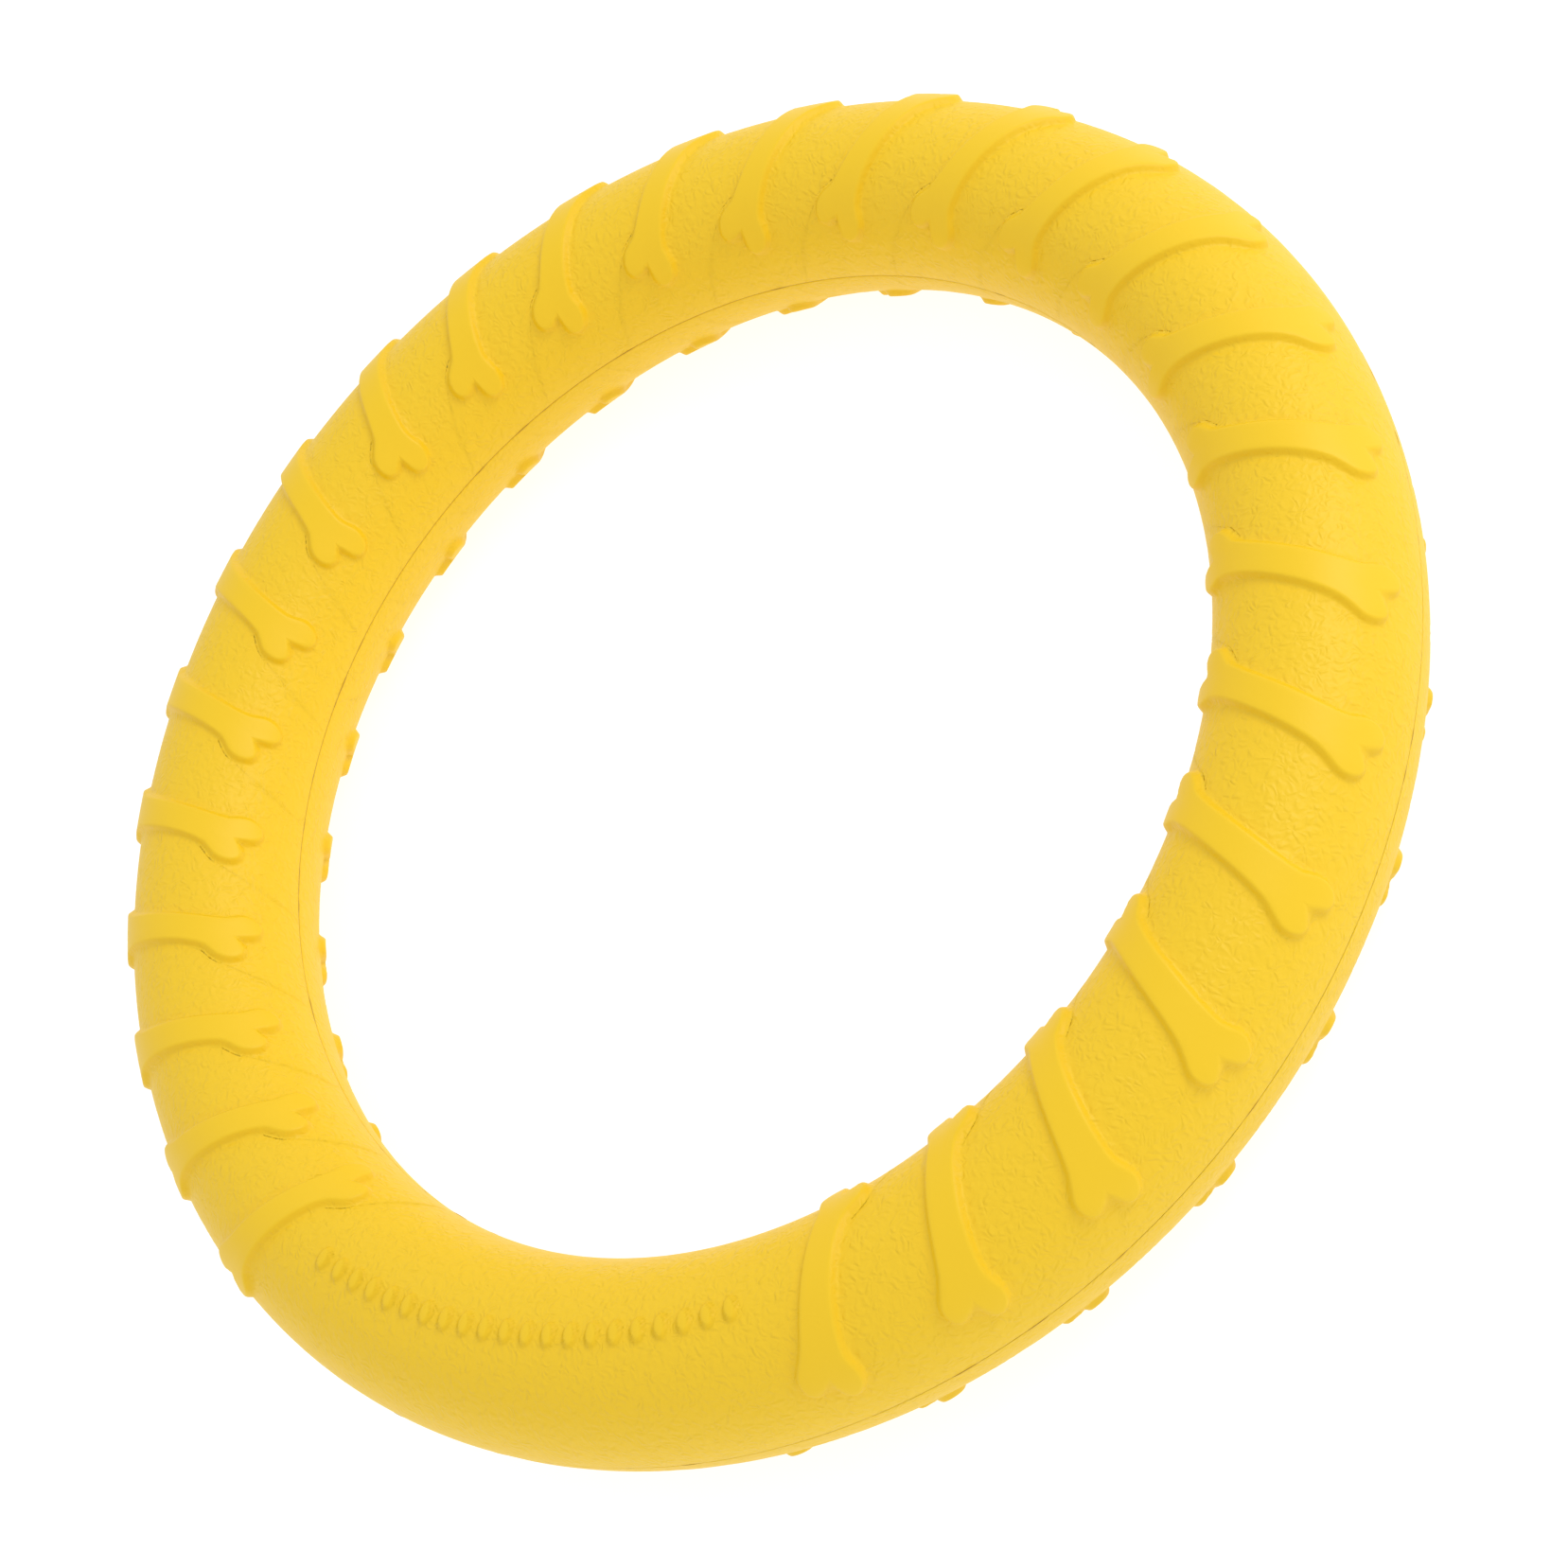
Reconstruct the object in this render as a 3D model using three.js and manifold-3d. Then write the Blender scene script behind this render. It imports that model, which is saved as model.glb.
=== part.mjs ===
// A thick soft throwing ring of moulded foam, 280 mm across. Two half rings, split at the waist, are
// glued together. Slanting ribs in the outline of a bone stand proud of both faces. The rear half's run
// all the way round, and the front half's leave a plain stretch with a row of small raised pips.
//
// Frame: millimetres, origin at the ring's centre on the joint plane, +Z along the ring's axis towards
// the front half, and the plain stretch at -Y.

import * as THREE from "three";
import { mergeVertices } from "three/addons/utils/BufferGeometryUtils.js";
import Module from "manifold-3d";

// ---- Driving dimensions (millimetres, degrees) ----

const RING_RADIUS = 121.4; // ring's axis to the middle of the tube
const TUBE_HALF_WIDTH = 18.6; // middle of the tube to its outer or inner waist
const TUBE_HALF_HEIGHT = 19.3; // joint plane to the crown between the ribs
const BOND_THICKNESS = 0.4; // layer of adhesive between the halves
const BOND_RECESS = 0.7; // adhesive stops this far inside the tube's surface

const RIB_RELIEF = 1.3; // rib above the surface round it
// Each face's ribs: how many, degrees from one to the next, azimuth of the first, slant of their length
// against the tube's section, their middle (round the ring from that azimuth, and from the crown towards
// the inner waist), and their size against the outline below.
const FRONT_RIBS = { count: 26, pitch: 12, first: -60, slant: 20.4, round: 0.3, over: -0.6, size: 1 };
const REAR_RIBS = { count: 28, pitch: 360 / 28, first: 7.8, slant: 24, round: 0, over: 0.9, size: 0.94 };
// Points of a rib are [across, along]: across to the right of its own axis, along it from outer to inner.
const SHAFT_RIGHT = { outer: [3.4, -12], inner: [3.1, 9.5] }; // where the shaft flares into its lobes
const SHAFT_LEFT = { outer: [-3.4, -10.5], inner: [-2.8, 11.5] };
const LOBE_HALF_WIDTH = 2.7; // each end of a rib is a pair of lobes
const LOBE_HALF_LENGTH = 3.6;
const OUTER_LOBES = { left: [-2.6, -17.4], right: [3.6, -17.7], notch: [0.4, -19] };
const INNER_LOBES = { left: [-2.6, 17.2], right: [3.3, 15.3], notch: [0.5, 16.8] };

const PLAIN_AZIMUTH = -90; // middle of the front half's plain stretch
const PIP_COUNT = 21; // raised pips along it
const PIP_PITCH = 2.2; // degrees round the ring
const PIP_HALF_WIDTH = 1.4; // round the ring
const PIP_HALF_LENGTH = 2.3; // over the crown
const PIP_RELIEF = 0.8;

// Fineness of the facets
const RING_STEPS = 60;
const TUBE_STEPS = 11; // odd, so that the crown is a flat facet
const LOBE_STEPS = 4;
const PIP_STEPS = 8;

const FOAM_YELLOW = 0xf2c62e;
const GLUE_AMBER = 0x8a6a1e;

const JOINT_Z = BOND_THICKNESS / 2;
const PRISM_BOTTOM_Z = 5; // inside the tube under every rib
const PRISM_TOP_Z = TUBE_HALF_HEIGHT + 3 * RIB_RELIEF;
const MEAN_TUBE_RADIUS = (TUBE_HALF_WIDTH + TUBE_HALF_HEIGHT) / 2;

const radians = THREE.MathUtils.degToRad;
const wasm = await Module();
wasm.setup();

// ---- Solids in and out of the boolean library ----

function toSolid(geometry) {
  const bare = geometry.clone();
  bare.deleteAttribute("normal");
  bare.deleteAttribute("uv");
  const merged = mergeVertices(bare, 1e-4);
  return new wasm.Manifold(
    new wasm.Mesh({
      numProp: 3,
      vertProperties: merged.attributes.position.array,
      triVerts: new Uint32Array(merged.index.array),
    }),
  );
}

function toGeometry(solid) {
  const mesh = solid.getMesh();
  const geometry = new THREE.BufferGeometry();
  geometry.setAttribute("position", new THREE.BufferAttribute(mesh.vertProperties, 3));
  geometry.setIndex(new THREE.BufferAttribute(mesh.triVerts, 1));
  geometry.computeVertexNormals();
  return geometry;
}

// ---- The half ring ----

// Half of the tube's oval section, swept round the ring, with its skin moved out by offset.
function halfTube(offset) {
  const profile = [];
  for (let step = 0; step <= TUBE_STEPS; step += 1) {
    const tubeAngle = Math.PI * (1 - step / TUBE_STEPS);
    profile.push(
      new THREE.Vector2(
        RING_RADIUS + (TUBE_HALF_WIDTH + offset) * Math.cos(tubeAngle),
        JOINT_Z + (TUBE_HALF_HEIGHT - JOINT_Z + offset) * Math.sin(tubeAngle),
      ),
    );
  }
  profile.push(profile[0].clone());
  return new THREE.LatheGeometry(profile.reverse(), RING_STEPS).rotateX(Math.PI / 2);
}

// A point of the skin's plan, from millimetres round the ring and over the tube's crown.
function planPoint(azimuth, round, over, relief) {
  const tubeAngle = Math.PI / 2 + over / MEAN_TUBE_RADIUS;
  const azimuthThere = radians(azimuth) + round / (RING_RADIUS + TUBE_HALF_WIDTH * Math.cos(tubeAngle));
  const radius = RING_RADIUS + (TUBE_HALF_WIDTH + relief / 2) * Math.cos(tubeAngle);
  return new THREE.Vector2(radius * Math.cos(azimuthThere), radius * Math.sin(azimuthThere));
}

// A point of a rib's plan, from its own axes: across to the right, and along from outer to inner end.
function ribPlanPoint(ribs, azimuth, across, along) {
  const slant = radians(ribs.slant);
  const round = ribs.round + ribs.size * (along * Math.sin(slant) + across * Math.cos(slant));
  const over = ribs.over + ribs.size * (along * Math.cos(slant) - across * Math.sin(slant));
  return planPoint(azimuth, round, over, RIB_RELIEF);
}

// Points [across, along] on an oval lobe, from one angle to another.
function lobeArc([across, along], from, to) {
  return Array.from({ length: LOBE_STEPS + 1 }, (_, step) => {
    const angle = radians(THREE.MathUtils.lerp(from, to, step / LOBE_STEPS));
    return [across + LOBE_HALF_WIDTH * Math.cos(angle), along + LOBE_HALF_LENGTH * Math.sin(angle)];
  });
}

// The bone outline, anticlockwise as the rib's own axes show it.
function ribOutline() {
  return [
    ...lobeArc(OUTER_LOBES.left, 145, 325),
    OUTER_LOBES.notch,
    ...lobeArc(OUTER_LOBES.right, 215, 395),
    SHAFT_RIGHT.outer,
    SHAFT_RIGHT.inner,
    ...lobeArc(INNER_LOBES.right, -35, 145),
    INNER_LOBES.notch,
    ...lobeArc(INNER_LOBES.left, 35, 215),
    SHAFT_LEFT.inner,
    SHAFT_LEFT.outer,
  ];
}

function prism(outline) {
  const bottom = new THREE.Shape(outline);
  const depth = PRISM_TOP_Z - PRISM_BOTTOM_Z;
  const geometry = new THREE.ExtrudeGeometry(bottom, { depth, bevelEnabled: false, curveSegments: 1 });
  return geometry.translate(0, 0, PRISM_BOTTOM_Z);
}

function ribPrism(ribs, index) {
  const azimuth = ribs.first + index * ribs.pitch;
  return prism(ribOutline().map(([across, along]) => ribPlanPoint(ribs, azimuth, across, along)));
}

function pipPrism(index) {
  const azimuth = PLAIN_AZIMUTH + (index - (PIP_COUNT - 1) / 2) * PIP_PITCH;
  const outline = Array.from({ length: PIP_STEPS }, (_, step) => {
    const angle = (2 * Math.PI * step) / PIP_STEPS;
    const [round, over] = [PIP_HALF_WIDTH * Math.cos(angle), PIP_HALF_LENGTH * Math.sin(angle)];
    return planPoint(azimuth, round, over, PIP_RELIEF);
  });
  return prism(outline);
}

// The prisms cut out of the skin at the given relief, which leaves them parallel to the tube.
function relief(height, count, makePrism) {
  const skin = toSolid(halfTube(height));
  const prisms = Array.from({ length: count }, (_, index) => toSolid(makePrism(index)));
  return skin.intersect(wasm.Manifold.union(prisms));
}

// A half ring above the joint plane, with its ribs.
function ribbedHalf(ribs) {
  return toSolid(halfTube(0)).add(relief(RIB_RELIEF, ribs.count, (index) => ribPrism(ribs, index)));
}

function frontHalf() {
  return toGeometry(ribbedHalf(FRONT_RIBS).add(relief(PIP_RELIEF, PIP_COUNT, pipPrism)));
}

// Built above the joint plane and reflected in it, with each triangle's corners in the other order.
function rearHalf() {
  const geometry = toGeometry(ribbedHalf(REAR_RIBS)).scale(1, 1, -1);
  const corners = geometry.index.array;
  for (let first = 0; first < corners.length; first += 3) {
    [corners[first], corners[first + 1]] = [corners[first + 1], corners[first]];
  }
  geometry.computeVertexNormals();
  return geometry;
}

// ---- The adhesive ----

function bondLayer() {
  const inner = RING_RADIUS - TUBE_HALF_WIDTH + BOND_RECESS;
  const outer = RING_RADIUS + TUBE_HALF_WIDTH - BOND_RECESS;
  const section = [
    [inner, -JOINT_Z],
    [outer, -JOINT_Z],
    [outer, JOINT_Z],
    [inner, JOINT_Z],
    [inner, -JOINT_Z],
  ].map(([radius, height]) => new THREE.Vector2(radius, height));
  return new THREE.LatheGeometry(section, RING_STEPS).rotateX(Math.PI / 2);
}

// ---- Assembly ----

function foam(name) {
  return new THREE.MeshStandardMaterial({ name, color: FOAM_YELLOW, roughness: 0.75, metalness: 0 });
}

function adhesive() {
  const name = "adhesive";
  return new THREE.MeshStandardMaterial({ name, color: GLUE_AMBER, roughness: 0.5, metalness: 0 });
}

function piece(name, geometry, material) {
  const mesh = new THREE.Mesh(geometry, material);
  mesh.name = name;
  return mesh;
}

const ring = new THREE.Group();
ring.add(
  piece("front_half", frontHalf(), foam("front foam")),
  piece("rear_half", rearHalf(), foam("rear foam")),
  piece("waist_bond", bondLayer(), adhesive()),
);

export default ring;
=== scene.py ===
"""A soft throwing ring of yellow foam, 280 mm across, lying on a pale floor.

Two half mouldings are glued together at the waist. Slanting ribs in the outline of a bone stand proud of
both faces: the rear half's run all the way round, and the front half's leave a plain stretch with a row
of small pips. The skin between them has a leather-like grain. Everything is in metres, +Z along the
ring's axis.
"""

import math
from typing import NamedTuple

import bmesh
import bpy
from mathutils import Matrix, Vector, noise


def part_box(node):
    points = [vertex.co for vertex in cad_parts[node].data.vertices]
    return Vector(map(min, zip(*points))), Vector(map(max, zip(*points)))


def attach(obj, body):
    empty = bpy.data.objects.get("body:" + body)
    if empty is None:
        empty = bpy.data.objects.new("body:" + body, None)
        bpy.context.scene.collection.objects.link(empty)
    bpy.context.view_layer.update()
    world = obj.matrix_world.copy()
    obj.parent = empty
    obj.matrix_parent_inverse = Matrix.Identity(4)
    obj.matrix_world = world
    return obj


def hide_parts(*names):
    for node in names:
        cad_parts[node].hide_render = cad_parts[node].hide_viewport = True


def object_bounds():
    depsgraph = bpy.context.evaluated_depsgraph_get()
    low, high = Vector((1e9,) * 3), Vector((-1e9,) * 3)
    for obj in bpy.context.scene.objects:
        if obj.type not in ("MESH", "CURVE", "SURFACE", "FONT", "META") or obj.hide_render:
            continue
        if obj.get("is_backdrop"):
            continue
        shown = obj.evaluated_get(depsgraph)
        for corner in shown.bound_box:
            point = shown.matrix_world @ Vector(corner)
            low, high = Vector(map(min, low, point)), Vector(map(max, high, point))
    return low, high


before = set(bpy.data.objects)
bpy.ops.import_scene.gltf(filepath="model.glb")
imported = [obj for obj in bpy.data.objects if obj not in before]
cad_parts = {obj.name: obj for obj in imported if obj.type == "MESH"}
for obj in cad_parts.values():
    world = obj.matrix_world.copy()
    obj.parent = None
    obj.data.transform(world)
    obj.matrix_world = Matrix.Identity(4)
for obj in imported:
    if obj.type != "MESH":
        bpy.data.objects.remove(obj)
CAD_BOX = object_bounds()

# ---- The ring's dimensions ----

MM = 0.001
TUBE_HALF_WIDTH = 18.6 * MM  # middle of the tube to its outer or inner waist
TUBE_HALF_HEIGHT = 19.3 * MM  # joint plane to the crown between the ribs
RING_RADIUS = CAD_BOX[1][0] - TUBE_HALF_WIDTH  # ring's axis to the middle of the tube
GLUE_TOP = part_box("waist_bond")[1][2]  # half the thickness of the adhesive
MEAN_TUBE_RADIUS = (TUBE_HALF_WIDTH + TUBE_HALF_HEIGHT) / 2
RIB_RELIEF = 1.3 * MM


class Ribs(NamedTuple):
    """Where the ribs of one face stand: angles in radians, lengths in metres."""
    count: int
    pitch: float
    first: float  # azimuth of the first one
    slant: float  # of a rib's length against the tube's section
    middle: Vector  # round the ring from that azimuth, and from the crown towards the inner waist
    size: float  # against the outline below


FRONT_RIBS = Ribs(
    count=26, pitch=math.radians(12), first=math.radians(-60), slant=math.radians(20.4),
    middle=Vector((0.3, -0.6)) * MM, size=1.0,
)
REAR_RIBS = Ribs(
    count=28, pitch=math.tau / 28, first=math.radians(7.8), slant=math.radians(24),
    middle=Vector((0.0, 0.9)) * MM, size=0.94,
)

# A rib in its own axes, millimetres across it to the right and along it from outer to inner end
SHAFT_RIGHT = ((3.4, -12), (3.1, 9.5))
SHAFT_LEFT = ((-3.4, -10.5), (-2.8, 11.5))
LOBE_HALF_WIDTH = 2.7
LOBE_HALF_LENGTH = 3.6
OUTER_LOBES = {"left": (-2.6, -17.4), "right": (3.6, -17.7), "notch": (0.4, -19)}
INNER_LOBES = {"left": (-2.6, 17.2), "right": (3.3, 15.3), "notch": (0.5, 16.8)}
SPINE = ((0.5, -16.5), (0.4, 15.5))
# Degrees that each lobe's arc runs through, anticlockwise
LOBE_ARCS = {
    "outer left": (145, 325), "outer right": (215, 395), "inner right": (-35, 145), "inner left": (35, 215),
}
CORNER_CUTS = 2  # times that the outline's corners are rounded off

WALL_OUTSIDE = 0.55 * MM  # a rib's wall starts this far outside its outline
WALL_INSIDE = 0.75 * MM  # and reaches the top this far inside it
SHOULDER_POWER = 0.8  # below 1, the wall's shoulder is rounder than its foot

PIP_COUNT = 21
PIP_PITCH = math.radians(2.2)
PIP_HALF_WIDTH = 1.4 * MM  # round the ring
PIP_HALF_LENGTH = 2.3 * MM  # over the crown
PIP_RELIEF = 0.8 * MM
PIP_FOOT = 1.2  # where its wall ends and its flat top begins, against its half sizes
PIP_SHOULDER = 0.7
PLAIN_MIDDLE = math.radians(-90)  # azimuth of the middle of the plain stretch

SEAM = ((0.05, 0.12), (0.22, 0.05), (0.50, 0.20))  # edge at the joint: inwards, above it, in mm
OUTER_SEAM = 0.3  # the outer waist's seam against the inner one's
WAIST_ANGLE = math.radians(1.0)  # where the skin hands over to that edge
GLUE_INSET = 0.1  # glue's edge inside the skin, in mm
GLUE_WANDER = 0.2  # most that it swells out from there
# Upper half of the glue's section: side of the tube, mm inside the edge, height against the glue's top
GLUE_SECTION = [
    (-1, 0.0, 0.25), (-1, 0.35, 0.25), (-1, 0.6, 0.9), (1, 0.6, 0.9), (1, 0.35, 0.25), (1, 0.0, 0.25),
]
BEAD_FREQUENCY = 24  # of the noise that places the beads along a waist
BEAD_LEVEL = 0.4  # where the two waists read that noise, above and below zero
BEAD_GAIN = 2.2  # widens the noise's swing
BEAD_THRESHOLD = 0.3  # and is taken off it, so that beads are few

# ---- Fineness of the mesh ----

END_STEPS = 13  # across half of a rib's tile, at either waist
END_TURN = 50  # degrees round a lobe from its far end to where a loop's end gives way to its side
SHAFT_TURN = 125  # and to where the lobe gives way to the shaft
HULL_EASING = 3  # times that the loop round a rib is evened out
CROWN_ROWS = 15  # fine rows over the crown, which the pips need
CROWN_HALF_ANGLE = math.radians(9)
FLANK_ROWS = 22  # rows from the crown down to either waist
SIDE_STEPS = CROWN_ROWS + 2 * FLANK_ROWS
PIP_COLUMNS = 10
WALL_RINGS = (0.95, 0.6, 0.35, 0.12, -0.1, -0.32, -0.55, -0.85)  # loops along the wall, mm outwards
SKIRT_RINGS = 6  # strips of faces between the tile's edge and the wall
SKIRT_POWER = 0.85  # below 1, they are narrower towards the wall
TOP_RINGS = 3  # strips between the wall and the rib's spine
GLUE_STEPS = 1080  # round the ring
TILE_MERGE = 0.002 * MM  # points of a tile nearer than this are one point
HALF_MERGE = 0.005 * MM  # and so are points of neighbouring tiles
ALMOST_FULL_TURN = math.radians(359)  # ribs that reach less far leave a plain stretch


# ---- Small helpers ----

def smoothstep(t):
    t = min(max(t, 0.0), 1.0)
    return t * t * (3 - 2 * t)


def mix(a, b, t):
    return a + (b - a) * t


def resample(points, count):
    """Count + 1 points at even spacing along an open line of points."""
    lengths = [0.0]
    for a, b in zip(points, points[1:]):
        lengths.append(lengths[-1] + (b - a).length)
    found = []
    segment = 0
    for step in range(count + 1):
        wanted = lengths[-1] * step / count
        while segment < len(points) - 2 and lengths[segment + 1] < wanted:
            segment += 1
        span = lengths[segment + 1] - lengths[segment]
        found.append(points[segment].lerp(points[segment + 1], (wanted - lengths[segment]) / span))
    return found


def corners_cut(points, times):
    """A closed line of points with its corners rounded off."""
    for _ in range(times):
        rounded = []
        for a, b in zip(points, points[1:] + points[:1]):
            rounded += [a.lerp(b, 0.25), a.lerp(b, 0.75)]
        points = rounded
    return points


def mesh_piece(name, bm, material):
    """A smooth-shaded object from a bmesh, riding on the ring."""
    bmesh.ops.recalc_face_normals(bm, faces=bm.faces)
    mesh = bpy.data.meshes.new(name)
    bm.to_mesh(mesh)
    bm.free()
    mesh.polygons.foreach_set("use_smooth", [True] * len(mesh.polygons))
    mesh.materials.append(material)
    piece = bpy.data.objects.new(name, mesh)
    bpy.context.scene.collection.objects.link(piece)
    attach(piece, "root")
    return piece


# ---- The skin: flat millimetres wrapped on to the tube ----

def tube_angle_at(over):
    return math.pi / 2 + over / MEAN_TUBE_RADIUS


def local_radius(tube_angle):
    return RING_RADIUS + TUBE_HALF_WIDTH * math.cos(tube_angle)


def skin_point(azimuth, tube_angle, height):
    """A point of the front half's skin, raised along the skin's normal."""
    cos_t, sin_t = math.cos(tube_angle), math.sin(tube_angle)
    normal = Vector((cos_t / TUBE_HALF_WIDTH, sin_t / TUBE_HALF_HEIGHT)).normalized()
    radius = RING_RADIUS + TUBE_HALF_WIDTH * cos_t + height * normal.x
    z = TUBE_HALF_HEIGHT * sin_t + height * normal.y
    return Vector((radius * math.cos(azimuth), radius * math.sin(azimuth), z))


def tile_lean(ribs, tube_angle):
    """How far a tile's middle line has moved round the ring at this height on the tube."""
    over = (tube_angle - math.pi / 2) * MEAN_TUBE_RADIUS
    return math.tan(ribs.slant) * over / RING_RADIUS


# ---- A rib's outline ----

def rib_point(ribs, point):
    """From a rib's own axes to metres round the ring and over the crown."""
    across, along = point
    sin_s, cos_s = math.sin(ribs.slant), math.cos(ribs.slant)
    round_ring = along * sin_s + across * cos_s
    over_crown = along * cos_s - across * sin_s
    return ribs.middle + Vector((round_ring, over_crown)) * ribs.size * MM


def lobe_arc(centre, start, end, steps=12):
    angles = [math.radians(mix(start, end, step / steps)) for step in range(steps + 1)]
    return [
        (centre[0] + LOBE_HALF_WIDTH * math.cos(a), centre[1] + LOBE_HALF_LENGTH * math.sin(a))
        for a in angles
    ]


def rib_outline(ribs):
    """The bone outline that the relief follows, anticlockwise, with a notch between each pair of lobes."""
    line = [
        *lobe_arc(OUTER_LOBES["left"], *LOBE_ARCS["outer left"]), OUTER_LOBES["notch"],
        *lobe_arc(OUTER_LOBES["right"], *LOBE_ARCS["outer right"]), *SHAFT_RIGHT,
        *lobe_arc(INNER_LOBES["right"], *LOBE_ARCS["inner right"]), INNER_LOBES["notch"],
        *lobe_arc(INNER_LOBES["left"], *LOBE_ARCS["inner left"]), *reversed(SHAFT_LEFT),
    ]
    return corners_cut([rib_point(ribs, p) for p in line], CORNER_CUTS)


def end_middle(lobes, sign):
    """The point between a pair of lobes, level with their far ends."""
    left, right = lobes["left"], lobes["right"]
    return (left[0] + right[0]) / 2, (left[1] + right[1]) / 2 + sign * LOBE_HALF_LENGTH


def hull_side(ribs, sign):
    """Points down one side of a rib without its notches, one for each step along the tile's edge."""
    side, shaft = ("left", SHAFT_LEFT) if sign < 0 else ("right", SHAFT_RIGHT)
    outer, inner = OUTER_LOBES[side], INNER_LOBES[side]
    outer_end = [end_middle(OUTER_LOBES, -1), *lobe_arc(outer, 270, 270 + sign * END_TURN)]
    flank = lobe_arc(outer, 270 + sign * END_TURN, 270 + sign * SHAFT_TURN)
    flank += [*shaft, *lobe_arc(inner, 90 - sign * SHAFT_TURN, 90 - sign * END_TURN)]
    inner_end = [*lobe_arc(inner, 90 - sign * END_TURN, 90), end_middle(INNER_LOBES, 1)]
    points = []
    for line, steps in ((outer_end, END_STEPS), (flank, SIDE_STEPS), (inner_end, END_STEPS)):
        points = points[:-1] + resample([rib_point(ribs, p) for p in line], steps)
    return points


def relaxed(points, times):
    """A closed line of points with its kinks evened out."""
    for _ in range(times):
        points = [
            (points[i - 1] + 2 * points[i] + points[(i + 1) % len(points)]) / 4
            for i in range(len(points))
        ]
    return points


def depth_inside(point, outline):
    """Distance from the outline, positive inside it."""
    nearest = 1.0
    inside = False
    for a, b in zip(outline, outline[1:] + outline[:1]):
        edge = b - a
        t = min(max((point - a).dot(edge) / edge.length_squared, 0.0), 1.0)
        nearest = min(nearest, (point - a - edge * t).length)
        if (a.y > point.y) != (b.y > point.y):
            if point.x < a.x + (point.y - a.y) * edge.x / edge.y:
                inside = not inside
    return nearest if inside else -nearest


def wall_profile(depth):
    """Height of a rib's wall from 0 to 1: a short fillet at the foot and a rounder shoulder."""
    t = (depth + WALL_OUTSIDE) / (WALL_OUTSIDE + WALL_INSIDE)
    return smoothstep(t) ** SHOULDER_POWER


# ---- A tile: one rib and the skin round it ----

def tile_rows():
    """Tube angles of the rows down a tile's edge, from the outer waist to the inner one."""
    half = math.pi / 2 - WAIST_ANGLE
    flank = [mix(-half, -CROWN_HALF_ANGLE, k / FLANK_ROWS) for k in range(FLANK_ROWS)]
    crown = [mix(-CROWN_HALF_ANGLE, CROWN_HALF_ANGLE, k / CROWN_ROWS) for k in range(CROWN_ROWS + 1)]
    return [math.pi / 2 + a for a in flank + crown + [-b for b in reversed(flank)]]


def border_point(ribs, sign, turn, tube_angle):
    """A point on a tile's edge in flat metres; turn is 1 at the tile's side and 0 on its middle line."""
    azimuth = tile_lean(ribs, tube_angle) + sign * turn * ribs.pitch / 2
    over = (tube_angle - math.pi / 2) * MEAN_TUBE_RADIUS
    return Vector((azimuth * local_radius(tube_angle), over))


def border_side(ribs, sign):
    rows = tile_rows()
    ends = [k / END_STEPS for k in range(END_STEPS)]
    points = [border_point(ribs, sign, turn, rows[0]) for turn in ends]
    points += [border_point(ribs, sign, 1.0, angle) for angle in rows]
    points += [border_point(ribs, sign, turn, rows[-1]) for turn in reversed(ends)]
    return points


def closed_loop(make_side, ribs):
    """Both sides of a loop as one: up the left from the outer middle, and back down the right."""
    left, right = make_side(ribs, -1), make_side(ribs, 1)
    return left[:-1] + right[:0:-1]


def tile_loops(ribs):
    """A tile's loops of points in flat metres, from its edge in to the spine of its rib."""
    border = closed_loop(border_side, ribs)
    hull = relaxed(closed_loop(hull_side, ribs), HULL_EASING)
    around = len(hull)
    wall = [[] for _ in WALL_RINGS]
    for i, point in enumerate(hull):
        tangent = (hull[(i + 1) % around] - hull[i - 1]).normalized()
        for loop, outwards in zip(wall, WALL_RINGS):
            loop.append(point + Vector((-tangent.y, tangent.x)) * outwards * MM)
    skirt = [
        [b.lerp(w, (ring / SKIRT_RINGS) ** SKIRT_POWER) for b, w in zip(border, wall[0])]
        for ring in range(SKIRT_RINGS)
    ]
    outer, inner = (rib_point(ribs, p) for p in SPINE)
    spine = [outer.lerp(inner, 0.5 - 0.5 * math.cos(math.tau * i / around)) for i in range(around)]
    top = [
        [w.lerp(s, ring / TOP_RINGS) for w, s in zip(wall[-1], spine)]
        for ring in range(1, TOP_RINGS + 1)
    ]
    return skirt + wall + top


def rib_tile(ribs):
    """One rib's tile as a bmesh wrapped on the tube at azimuth 0, with its relief as vertex data."""
    loops = tile_loops(ribs)
    around = len(loops[0])
    outline = rib_outline(ribs)
    bm = bmesh.new()
    rows = len(loops) - 1
    bmesh.ops.create_grid(bm, x_segments=around, y_segments=rows, size=0.5)
    ribbed = bm.verts.layers.float.new("rib")
    heights = {}
    for vert in bm.verts:
        i = round((vert.co.x + 0.5) * around) % around
        j = round((vert.co.y + 0.5) * rows)
        flat = loops[j][i]
        if (i, j) not in heights:
            heights[i, j] = wall_profile(depth_inside(flat, outline))
        vert[ribbed] = heights[i, j]
        tube_angle = tube_angle_at(flat.y)
        azimuth = flat.x / local_radius(tube_angle)
        vert.co = skin_point(azimuth, tube_angle, RIB_RELIEF * heights[i, j])
    bmesh.ops.remove_doubles(bm, verts=bm.verts, dist=TILE_MERGE)
    return bm


# ---- The half ring ----

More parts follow.
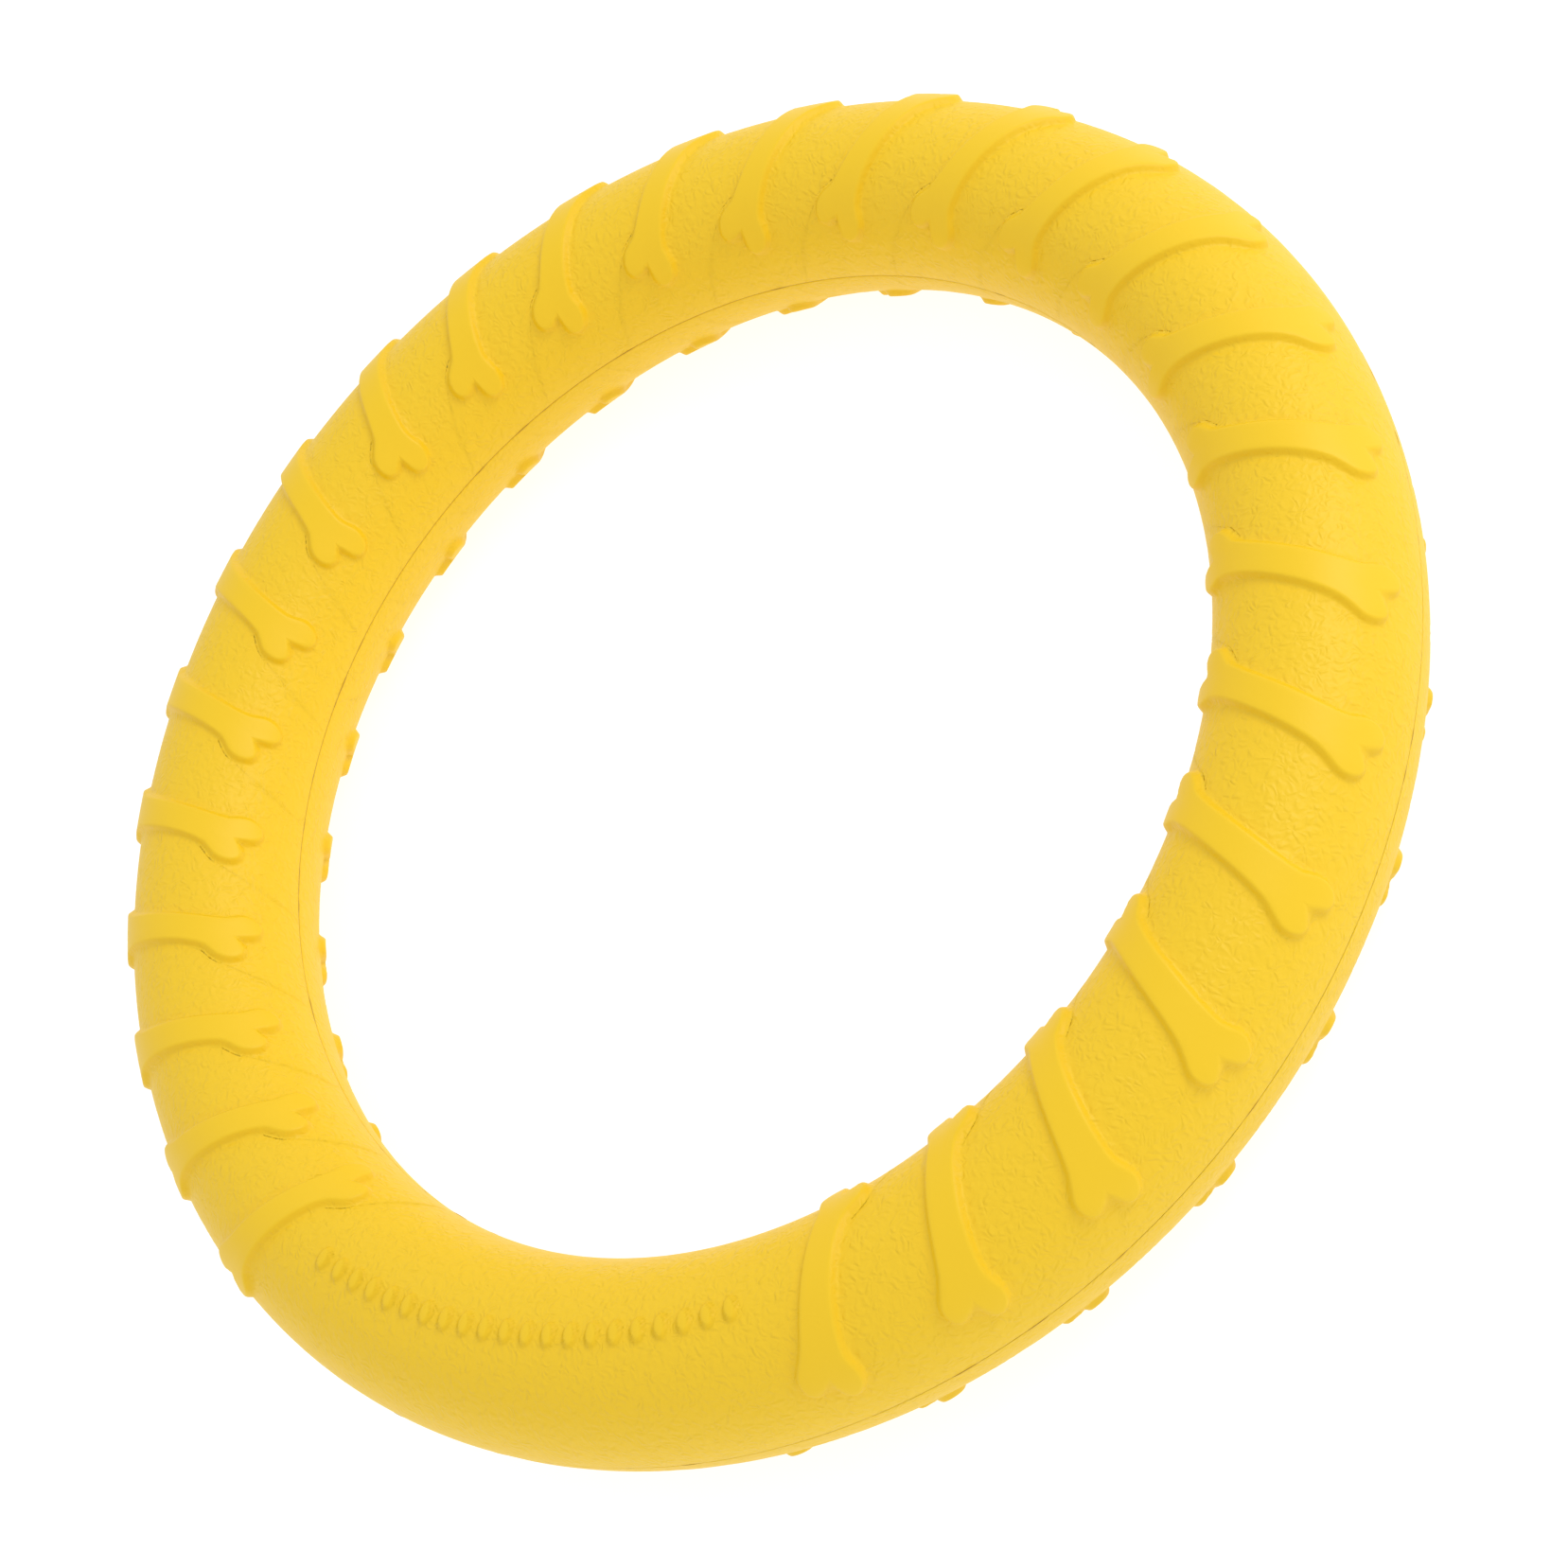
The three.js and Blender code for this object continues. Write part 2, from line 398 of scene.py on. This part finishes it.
def pip_height(azimuth, tube_angle):
    """Height from 0 to 1 of the nearest raised pip on the plain stretch."""
    place = (azimuth - PLAIN_MIDDLE) / PIP_PITCH
    nearest = min(max(round(place), -(PIP_COUNT // 2)), PIP_COUNT // 2)
    across = (place - nearest) * PIP_PITCH * local_radius(tube_angle)
    over = (tube_angle - math.pi / 2) * MEAN_TUBE_RADIUS
    out = math.hypot(across / PIP_HALF_WIDTH, over / PIP_HALF_LENGTH)
    return smoothstep((PIP_FOOT - out) / (PIP_FOOT - PIP_SHOULDER))


def plain_stretch(bm, ribs):
    """The stretch without ribs, from the last rib's tile round to the first one's."""
    start = ribs.first + ribs.pitch * (ribs.count - 0.5) - math.tau
    end = ribs.first - ribs.pitch / 2
    columns = round((end - start) / PIP_PITCH * PIP_COLUMNS)
    rows = tile_rows()
    ribbed = bm.verts.layers.float["rib"]
    grid = bmesh.ops.create_grid(bm, x_segments=columns, y_segments=len(rows) - 1, size=0.5)
    for vert in grid["verts"]:
        tube_angle = rows[round((vert.co.y + 0.5) * (len(rows) - 1))]
        azimuth = mix(start, end, vert.co.x + 0.5) + tile_lean(ribs, tube_angle)
        height = pip_height(azimuth, tube_angle)
        vert[ribbed] = height
        vert.co = skin_point(azimuth, tube_angle, PIP_RELIEF * height)


def closed_at_joint(bm):
    """Turns the open edges at the waist in to the joint and closes the flat face between them."""
    for inset, above in SEAM:
        rim = [edge for edge in bm.edges if edge.is_boundary]
        grown = bmesh.ops.extrude_edge_only(bm, edges=rim)["geom"]
        for vert in [g for g in grown if isinstance(g, bmesh.types.BMVert)]:
            radius = math.hypot(vert.co.x, vert.co.y)
            side = 1 if radius > RING_RADIUS else -1
            depth = inset * (OUTER_SEAM if side > 0 else 1) * MM
            scale = (RING_RADIUS + side * (TUBE_HALF_WIDTH - depth)) / radius
            vert.co = (vert.co.x * scale, vert.co.y * scale, above * MM)
    bmesh.ops.bridge_loops(bm, edges=[edge for edge in bm.edges if edge.is_boundary])


def half_ring(ribs):
    """A half moulding above the joint as a bmesh."""
    bm = rib_tile(ribs)
    bmesh.ops.rotate(bm, verts=bm.verts, cent=(0, 0, 0), matrix=Matrix.Rotation(ribs.first, 3, "Z"))
    bmesh.ops.spin(
        bm, geom=bm.verts[:] + bm.edges[:] + bm.faces[:], cent=(0, 0, 0), dvec=(0, 0, 0),
        axis=(0, 0, 1), angle=ribs.pitch * (ribs.count - 1), steps=ribs.count - 1, use_duplicate=True,
    )
    if ribs.pitch * ribs.count < ALMOST_FULL_TURN:
        plain_stretch(bm, ribs)
    bmesh.ops.remove_doubles(bm, verts=bm.verts, dist=HALF_MERGE)
    closed_at_joint(bm)
    return bm


def turned_rear(bm):
    """Reflects a half moulding in the joint."""
    bmesh.ops.scale(bm, vec=(1, 1, -1), verts=bm.verts)
    return bm


def glue_edge_inset(azimuth, side):
    """How far inside the skin the glue's edge lies, in mm: mostly in the seam, here and there out of it."""
    place = Vector((math.cos(azimuth), math.sin(azimuth), BEAD_LEVEL * side))
    swell = noise.noise(place * BEAD_FREQUENCY)
    return GLUE_INSET - GLUE_WANDER * smoothstep(BEAD_GAIN * swell - BEAD_THRESHOLD)


def glue_line():
    """The adhesive as a thin ring whose edges fill the seam and swell out of it in small beads."""
    bm = bmesh.new()
    section = GLUE_SECTION + [(side, inset, -up) for side, inset, up in reversed(GLUE_SECTION)]
    verts = [
        bm.verts.new((RING_RADIUS + side * (TUBE_HALF_WIDTH - inset * MM), 0, up * GLUE_TOP))
        for side, inset, up in section
    ]
    edges = [bm.edges.new(pair) for pair in zip(verts, verts[1:] + verts[:1])]
    bmesh.ops.spin(
        bm, geom=verts + edges, cent=(0, 0, 0), dvec=(0, 0, 0),
        axis=(0, 0, 1), angle=math.tau, steps=GLUE_STEPS, use_merge=True,
    )
    for vert in bm.verts:
        radius = math.hypot(vert.co.x, vert.co.y)
        side = 1 if radius > RING_RADIUS else -1
        inset = glue_edge_inset(math.atan2(vert.co.y, vert.co.x), side) * MM
        scale = (radius - side * inset) / radius
        vert.co = (vert.co.x * scale, vert.co.y * scale, vert.co.z)
    return bm


# ---- Materials ----

SKIN_COLOR = (0.91, 0.59, 0.011, 1)
WALL_SHADE_COLOR = (0.88, 0.56, 0.001, 1)  # painted shade on the walls of the ribs and pips: a deeper, more saturated yellow for their shaded flanks
TOP_COLOR = (0.91, 0.59, 0.008, 1)
WALL_SHADE_SPAN = (0.25, 0.8)  # of a rib's or pip's height, where the painted wall shade is at its full
CREASE_SHARE = 0.6  # of the creases between the cells against the soft bumps over them
WARP_FREQUENCY = 0.5  # of the bends that draw the cells out into wrinkles, against that of the cells
WARP_REACH = 2.6  # cells' sizes that they are bent through


def new_group(name, inputs, outputs):
    """A shader node group with float inputs given as name: default."""
    group = bpy.data.node_groups.new(name, "ShaderNodeTree")
    for label, kind, default in inputs:
        socket = group.interface.new_socket(label, in_out="INPUT", socket_type=kind)
        if default is not None:
            socket.default_value = default
    for label, kind in outputs:
        group.interface.new_socket(label, in_out="OUTPUT", socket_type=kind)
    return group, group.nodes.new("NodeGroupInput"), group.nodes.new("NodeGroupOutput")


def leather_grain():
    """Height of the moulded grain: cells drawn out into wrinkles, with soft bumps over them."""
    group, given, result = new_group(
        "leather_grain",
        [("Vector", "NodeSocketVector", None), ("Cell Size", "NodeSocketFloat", 0.0012)],
        [("Height", "NodeSocketFloat")],
    )
    nodes, links = group.nodes, group.links
    frequency = nodes.new("ShaderNodeMath")
    frequency.operation = "DIVIDE"
    frequency.inputs[0].default_value = 1.0
    links.new(given.outputs["Cell Size"], frequency.inputs[1])

    warp = nodes.new("ShaderNodeTexNoise")
    warp.inputs["Detail"].default_value = 1
    links.new(given.outputs["Vector"], warp.inputs["Vector"])
    wide = nodes.new("ShaderNodeMath")
    wide.operation = "MULTIPLY"
    wide.inputs[1].default_value = WARP_FREQUENCY
    links.new(frequency.outputs[0], wide.inputs[0])
    links.new(wide.outputs[0], warp.inputs["Scale"])
    centred = nodes.new("ShaderNodeVectorMath")
    centred.operation = "SUBTRACT"
    centred.inputs[1].default_value = (0.5, 0.5, 0.5)
    links.new(warp.outputs["Color"], centred.inputs[0])
    reach = nodes.new("ShaderNodeMath")
    reach.operation = "MULTIPLY"
    reach.inputs[1].default_value = WARP_REACH
    links.new(given.outputs["Cell Size"], reach.inputs[0])
    sized = nodes.new("ShaderNodeVectorMath")
    sized.operation = "SCALE"
    links.new(centred.outputs[0], sized.inputs[0])
    links.new(reach.outputs[0], sized.inputs["Scale"])
    bent = nodes.new("ShaderNodeVectorMath")
    bent.operation = "ADD"
    links.new(given.outputs["Vector"], bent.inputs[0])
    links.new(sized.outputs[0], bent.inputs[1])

    cells = nodes.new("ShaderNodeTexVoronoi")
    cells.feature = "DISTANCE_TO_EDGE"
    links.new(bent.outputs[0], cells.inputs["Vector"])
    links.new(frequency.outputs[0], cells.inputs["Scale"])
    crease = nodes.new("ShaderNodeMapRange")
    crease.interpolation_type = "SMOOTHSTEP"
    crease.inputs["From Max"].default_value = 0.5
    links.new(cells.outputs["Distance"], crease.inputs["Value"])

    bumps = nodes.new("ShaderNodeTexNoise")
    bumps.inputs["Detail"].default_value = 1
    bumps.inputs["Roughness"].default_value = 0.5
    links.new(given.outputs["Vector"], bumps.inputs["Vector"])
    links.new(frequency.outputs[0], bumps.inputs["Scale"])

    blend = nodes.new("ShaderNodeMath")
    blend.operation = "MULTIPLY_ADD"
    blend.inputs[1].default_value = CREASE_SHARE
    links.new(crease.outputs[0], blend.inputs[0])
    links.new(bumps.outputs["Fac"], blend.inputs[2])
    links.new(blend.outputs[0], result.inputs["Height"])
    return group


def foam_material(grain):
    material = bpy.data.materials.new("yellow_foam")
    material.use_nodes = True
    nodes, links = material.node_tree.nodes, material.node_tree.links
    shader = nodes["Principled BSDF"]
    shader.inputs["Roughness"].default_value = 0.5
    shader.inputs["Specular IOR Level"].default_value = 0.42

    place = nodes.new("ShaderNodeTexCoord")
    cells = nodes.new("ShaderNodeGroup")
    cells.node_tree = grain
    cells.inputs["Cell Size"].default_value = 1.7 * MM
    links.new(place.outputs["Object"], cells.inputs["Vector"])

    ribbed = nodes.new("ShaderNodeAttribute")
    ribbed.attribute_name = "rib"
    # The rib attribute picks the colour: the foam's own yellow on the skin and the tops, and painted shade
    # on the walls between them
    colour_with_wall_shade = nodes.new("ShaderNodeValToRGB")
    steps = colour_with_wall_shade.color_ramp.elements
    steps[0].color = SKIN_COLOR
    steps[1].color = TOP_COLOR
    for position in WALL_SHADE_SPAN:
        steps.new(position).color = WALL_SHADE_COLOR
    links.new(ribbed.outputs["Fac"], colour_with_wall_shade.inputs["Fac"])
    links.new(colour_with_wall_shade.outputs["Color"], shader.inputs["Base Color"])
    fade = nodes.new("ShaderNodeMapRange")
    fade.inputs["To Min"].default_value = 1.0
    fade.inputs["To Max"].default_value = 0.08
    links.new(ribbed.outputs["Fac"], fade.inputs["Value"])
    height = nodes.new("ShaderNodeMath")
    height.operation = "MULTIPLY"
    links.new(cells.outputs["Height"], height.inputs[0])
    links.new(fade.outputs[0], height.inputs[1])

    bump = nodes.new("ShaderNodeBump")
    bump.inputs["Strength"].default_value = 0.6
    bump.inputs["Distance"].default_value = 0.35 * MM
    links.new(height.outputs[0], bump.inputs["Height"])
    links.new(bump.outputs["Normal"], shader.inputs["Normal"])
    return material


def glue_material():
    material = bpy.data.materials.new("dried_glue")
    material.use_nodes = True
    shader = material.node_tree.nodes["Principled BSDF"]
    shader.inputs["Base Color"].default_value = (0.60, 0.34, 0.015, 1)
    shader.inputs["Roughness"].default_value = 0.5
    return material


# ---- The ring ----

GRAIN = leather_grain()
FOAM = foam_material(GRAIN)

front_skin = mesh_piece("front_half_skin", half_ring(FRONT_RIBS), FOAM)
rear_skin = mesh_piece("rear_half_skin", turned_rear(half_ring(REAR_RIBS)), FOAM)
glue = mesh_piece("glue_line", glue_line(), glue_material())

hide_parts("front_half")
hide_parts("rear_half")
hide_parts("waist_bond")


# ---- Floor, light and camera ----

FLOOR_HALF_SIZE = 6
FLOOR_GLOW = 0.86
TENT_STRENGTH = 0.82  # of the white surroundings
KEY_DIRECTION = (0.585, 0.552, 0.605)
KEY_DISTANCE = 1.5
KEY_SIZE = 0.6
KEY_POWER = 6.5


def floor():
    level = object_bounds()[0].z
    bm = bmesh.new()
    bmesh.ops.create_grid(bm, x_segments=1, y_segments=1, size=FLOOR_HALF_SIZE)
    bmesh.ops.translate(bm, verts=bm.verts, vec=(0, 0, level))
    mesh = bpy.data.meshes.new("floor")
    bm.to_mesh(mesh)
    bm.free()
    material = bpy.data.materials.new("pale_floor")
    material.use_nodes = True
    shader = material.node_tree.nodes["Principled BSDF"]
    shader.inputs["Base Color"].default_value = (0.3, 0.3, 0.3, 1)
    shader.inputs["Roughness"].default_value = 1.0
    shader.inputs["Specular IOR Level"].default_value = 0.0
    shader.inputs["Emission Color"].default_value = (1, 1, 1, 1)
    shader.inputs["Emission Strength"].default_value = FLOOR_GLOW
    mesh.materials.append(material)
    plane = bpy.data.objects.new("floor", mesh)
    bpy.context.scene.collection.objects.link(plane)
    plane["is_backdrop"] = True


def soft_box(name, direction, distance, size, power):
    """A square area light that faces the ring from the given direction."""
    light = bpy.data.lights.new(name, "AREA")
    light.size = size
    light.energy = power
    lamp = bpy.data.objects.new(name, light)
    toward = Vector(direction).normalized()
    lamp.location = toward * distance
    lamp.rotation_mode = "QUATERNION"
    lamp.rotation_quaternion = toward.to_track_quat("Z", "Y")
    bpy.context.scene.collection.objects.link(lamp)


def studio():
    world = bpy.data.worlds.new("white_tent")
    world.use_nodes = True
    world.node_tree.nodes["Background"].inputs["Color"].default_value = (1, 1, 1, 1)
    world.node_tree.nodes["Background"].inputs["Strength"].default_value = TENT_STRENGTH
    scene = bpy.context.scene
    scene.world = world
    scene.view_settings.view_transform = "Standard"
    scene.view_settings.look = "None"
    soft_box("key", KEY_DIRECTION, KEY_DISTANCE, KEY_SIZE, KEY_POWER)


CAMERA_LENS = 75.36  # mm, on the usual 36 mm sensor
CAMERA_BACK = Vector((0.55737, -0.3226, 0.76503))  # from the ring towards the camera
CAMERA_DISTANCE = 5.1842 * RING_RADIUS
CAMERA_AIM = Vector((0.0759, -0.0387, -0.0716)) * RING_RADIUS
CAMERA_ROLL = math.radians(-52.02)


def camera():
    data = bpy.data.cameras.new("camera")
    data.lens = CAMERA_LENS
    data.clip_start = 0.01
    view = bpy.data.objects.new("camera", data)
    view.location = CAMERA_AIM + CAMERA_BACK.normalized() * CAMERA_DISTANCE
    view.rotation_mode = "QUATERNION"
    level = CAMERA_BACK.to_track_quat("Z", "Y")
    view.rotation_quaternion = level @ Matrix.Rotation(CAMERA_ROLL, 3, "Z").to_quaternion()
    bpy.context.scene.collection.objects.link(view)
    bpy.context.scene.camera = view


floor()
studio()
camera()
